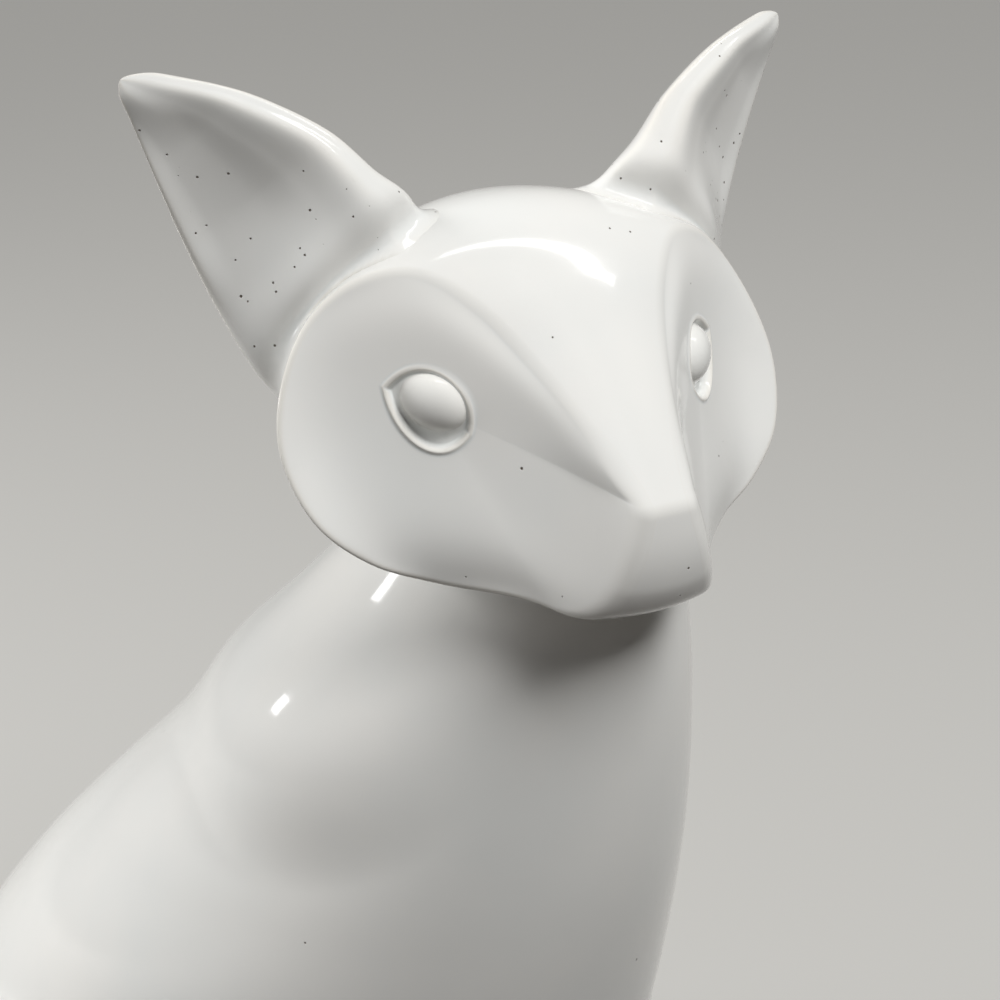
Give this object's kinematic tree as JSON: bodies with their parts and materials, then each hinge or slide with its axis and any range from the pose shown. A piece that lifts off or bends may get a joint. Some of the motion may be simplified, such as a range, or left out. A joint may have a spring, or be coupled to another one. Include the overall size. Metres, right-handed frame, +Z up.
{
  "type": "seated fox ornament",
  "caption": "Seated fox in white glazed ceramic with dished cheek discs, splayed hollowed ears and a curled tail, for display on a shelf or floor.",
  "frame": {"origin": "middle of the figure's outline seen from above, on the plane its felt pads stand on", "axes": "+Z up, -Y the way the body faces, +X the figure's left side; the head is turned to its right"},
  "size_m": [0.2466, 0.3018, 0.3616],
  "materials": {
    "white_glaze": "high gloss",
    "bisque": "matt, unglazed",
    "felt": "matt"
  },
  "bodies": {
    "root": {"torso_shell": "white_glaze", "head": "white_glaze", "right_ear": "white_glaze", "left_ear": "white_glaze", "right_eye": "white_glaze", "left_eye": "white_glaze", "right_foreleg": "white_glaze", "left_foreleg": "white_glaze", "right_hind_paw": "white_glaze", "left_hind_paw": "white_glaze", "tail": "white_glaze", "foot_plate": "bisque", "felt_pad_front_right": "felt", "felt_pad_front_left": "felt", "felt_pad_back_right": "felt", "felt_pad_back_left": "felt"}
  },
  "joints": []
}
